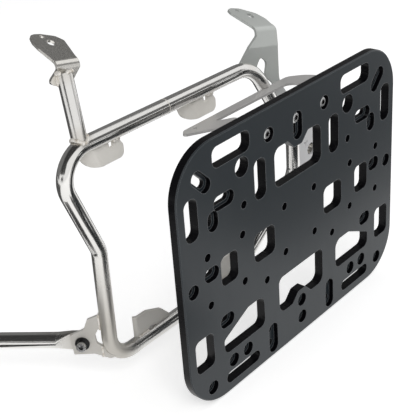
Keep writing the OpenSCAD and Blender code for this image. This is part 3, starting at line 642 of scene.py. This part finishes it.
post_weld = post_base_path()
weld("post_base_weld", post_weld + post_weld[:1], radius=2.1, pitch=1.3)
weld("post_top_weld", post_top_path(), radius=1.5)
weld("post_rim_weld", post_rim_path(-100, -30), radius=2.6, pitch=1.5)
weld("post_rim_weld_rear", post_rim_path(38, 88), radius=2.1, pitch=1.3)
for end, (first, last) in zip(("front", "rear"), TAB_NECKS):
    weld(f"upper_tab_{end}_weld",
         neck_path(first, last, top_tube_height, half_t=3.0 * MM, lift=-8.6 * MM),
         radius=1.7)
for end, x in zip(("front", "rear"), LOW_TABS):
    weld(f"lower_tab_{end}_weld",
         neck_path(x + 2 * MM, x + 16 * MM, bottom_tube_height, half_t=2.2 * MM,
                   lift=8.4 * MM),
         radius=1.3)
weld("rear_bracket_weld", rear_bend_path(), radius=1.6)
for end, low, high in (("upper", -0.073, -0.0555), ("lower", -0.1085, -0.0965)):
    weld(f"gusset_{end}_weld", gusset_path(low, high, 1), gusset_path(low, high, -1),
         radius=1.4)
weld("boss_weld", ring_path(BOSS_FOOT, Vector((0, 1, 0.0001)), BOSS_WELD_R), radius=1.1)
weld("top_seam_weld",
     ring_path(on_top_tube(TOP_SEAM_X), Vector((1, 0, TOP_SLOPE)).normalized(), SEAM_R),
     radius=0.85, pitch=0.6)
weld("bottom_seam_weld",
     ring_path(Vector((BOTTOM_SEAM_X, CARRIER_Y, BOTTOM_Z)), Vector((1, 0, 0)), SEAM_R),
     radius=0.85, pitch=0.6)
laid_along("plate_bolt_threads",
           [[Vector((x, y, PLATE_BOLT_Z)) for y in THREAD_ENDS_Y] for x in PLATE_BOLT_X],
           THREAD, "zinc_steel", FINISH["zinc"], crest_radius=3.7 * MM, pitch=0.8 * MM)


# The studio: a white floor and backdrop, two soft lamps and dark cloths for the reflections.

def white_where_seen():
    """White for the camera and for reflections, a plain soft light for the rest."""
    world = bpy.data.worlds.new("studio")
    bpy.context.scene.world = world
    world.use_nodes = True
    n = Nodes(world.node_tree)
    n.tree.nodes.clear()
    path = n.add("ShaderNodeLightPath", output="Is Camera Ray")
    seen = path.or_more(path.out("Is Glossy Ray")).or_more(path.out("Is Transmission Ray"))
    glow = n.add("ShaderNodeBackground", {},
                 {"Color": (1, 1, 1, 1), "Strength": 0.55 + seen * 0.45})
    end = n.tree.nodes.new("ShaderNodeOutputWorld")
    n.tree.links.new(glow.socket, end.inputs["Surface"])


def floor_paint():
    """Pale paint that keeps a soft shadow and glows to white where it is seen."""
    f = Finish("studio_floor")
    path = f.add("ShaderNodeLightPath", output="Is Camera Ray")
    skin = f.add("ShaderNodeBsdfDiffuse", {}, {"Color": (0.8, 0.8, 0.8, 1)})
    glow = f.add("ShaderNodeEmission", {}, {"Color": (1, 1, 1, 1), "Strength": 0.47})
    seen = path.or_more(path.out("Is Glossy Ray"))
    both = f.add("ShaderNodeAddShader", {}, {0: skin, 1: glow})
    return f.wear(f.add("ShaderNodeMixShader", {}, {0: seen, 1: skin, 2: both}))


def flag_cloth(shade):
    """Plain cloth of one even shade."""
    f = Finish(f"studio_flag_{round(shade * 100)}")
    glow = f.add("ShaderNodeEmission", {}, {"Color": (shade, shade, shade, 1), "Strength": 1.0})
    return f.wear(glow)


def stage_sheet(name, corners, paint):
    """A flat sheet that belongs to the studio and not to the object."""
    mesh = bpy.data.meshes.new(name)
    mesh.from_pydata(corners, [], [(0, 1, 2, 3)])
    mesh.materials.append(paint)
    sheet = bpy.data.objects.new(name, mesh)
    bpy.context.scene.collection.objects.link(sheet)
    return sheet


FLOOR_Z = CAD_BOX[0][2] - 1 * MM


def lying(x0, x1, y0, y1, z):
    """Corners of a level sheet."""
    return [(x0, y0, z), (x1, y0, z), (x1, y1, z), (x0, y1, z)]


def standing(start, end, z0, z1):
    """Corners of an upright sheet over a line on the floor."""
    return [(*start, z0), (*end, z0), (*end, z1), (*start, z1)]


def dark_flags():
    """Dark cloths round the studio, which show only in reflections."""
    low = FLOOR_Z + 0.002
    flags = {
        "flag_back": (standing((-5, 2.5), (8, 2.5), low, 7.0), 0.20),
        "flag_left": (standing((-5, -4), (-5, 2.5), 1.2, 6.0), 0.06),
        "flag_left_low": (standing((-4.6, -1.9), (-4.6, 0.15), low, 0.6), 0.05),
        "flag_above": (lying(-6, 2.5, -3, 2.5, 4), 0.05),
        "flag_right": (standing((5, 0.7), (5, 2.5), 3.0, 6.0), 0.16),
        "flag_floor": (lying(-1.3, 5, 0.28, 2.5, low), 0.10),
        "flag_floor_near": (lying(0.12, 0.7, -0.7, -0.12, low), 0.26),
        "flag_floor_far": (lying(0.7, 1.4, -1.4, -0.2, low), 0.45),
        "flag_horizon": (standing((2.2, -5), (8, -5), low, 0.7), 0.50),
        "flag_front": (standing((2.2, -5.0), (7.2, -5.0), 1.25, 5.5), 0.12),
        "flag_by_plate": (lying(-0.26, -0.04, -0.27, -0.10, low), 0.08),
        "flag_by_upright": (lying(-0.385, -0.295, 0.05, 0.235, low), 0.04),
    }
    for name, (corners, shade) in flags.items():
        sheet = stage_sheet(name, corners, flag_cloth(shade))
        sheet.visible_camera = False
        sheet.visible_diffuse = False
        sheet.visible_shadow = False
        sheet.visible_transmission = False


def soft_lamp(name, place, target, size, power):
    data = bpy.data.lights.new(name, "AREA")
    data.shape = "RECTANGLE"
    data.size, data.size_y = size
    data.energy = power
    lamp = bpy.data.objects.new(name, data)
    lamp.visible_glossy = False
    lamp.location = place
    lamp.rotation_euler = (Vector(target) - Vector(place)).to_track_quat("-Z", "Y").to_euler()
    bpy.context.scene.collection.objects.link(lamp)


white_where_seen()
stage_sheet("floor", lying(-12, 12, -12, 12, FLOOR_Z), floor_paint())
dark_flags()
soft_lamp("key", (-1.2, -1.4, 1.8), (0, 0, 0), (1.2, 1.2), 22)
soft_lamp("fill", (1.6, -0.6, 1.0), (0, 0, 0), (1.0, 1.6), 8)
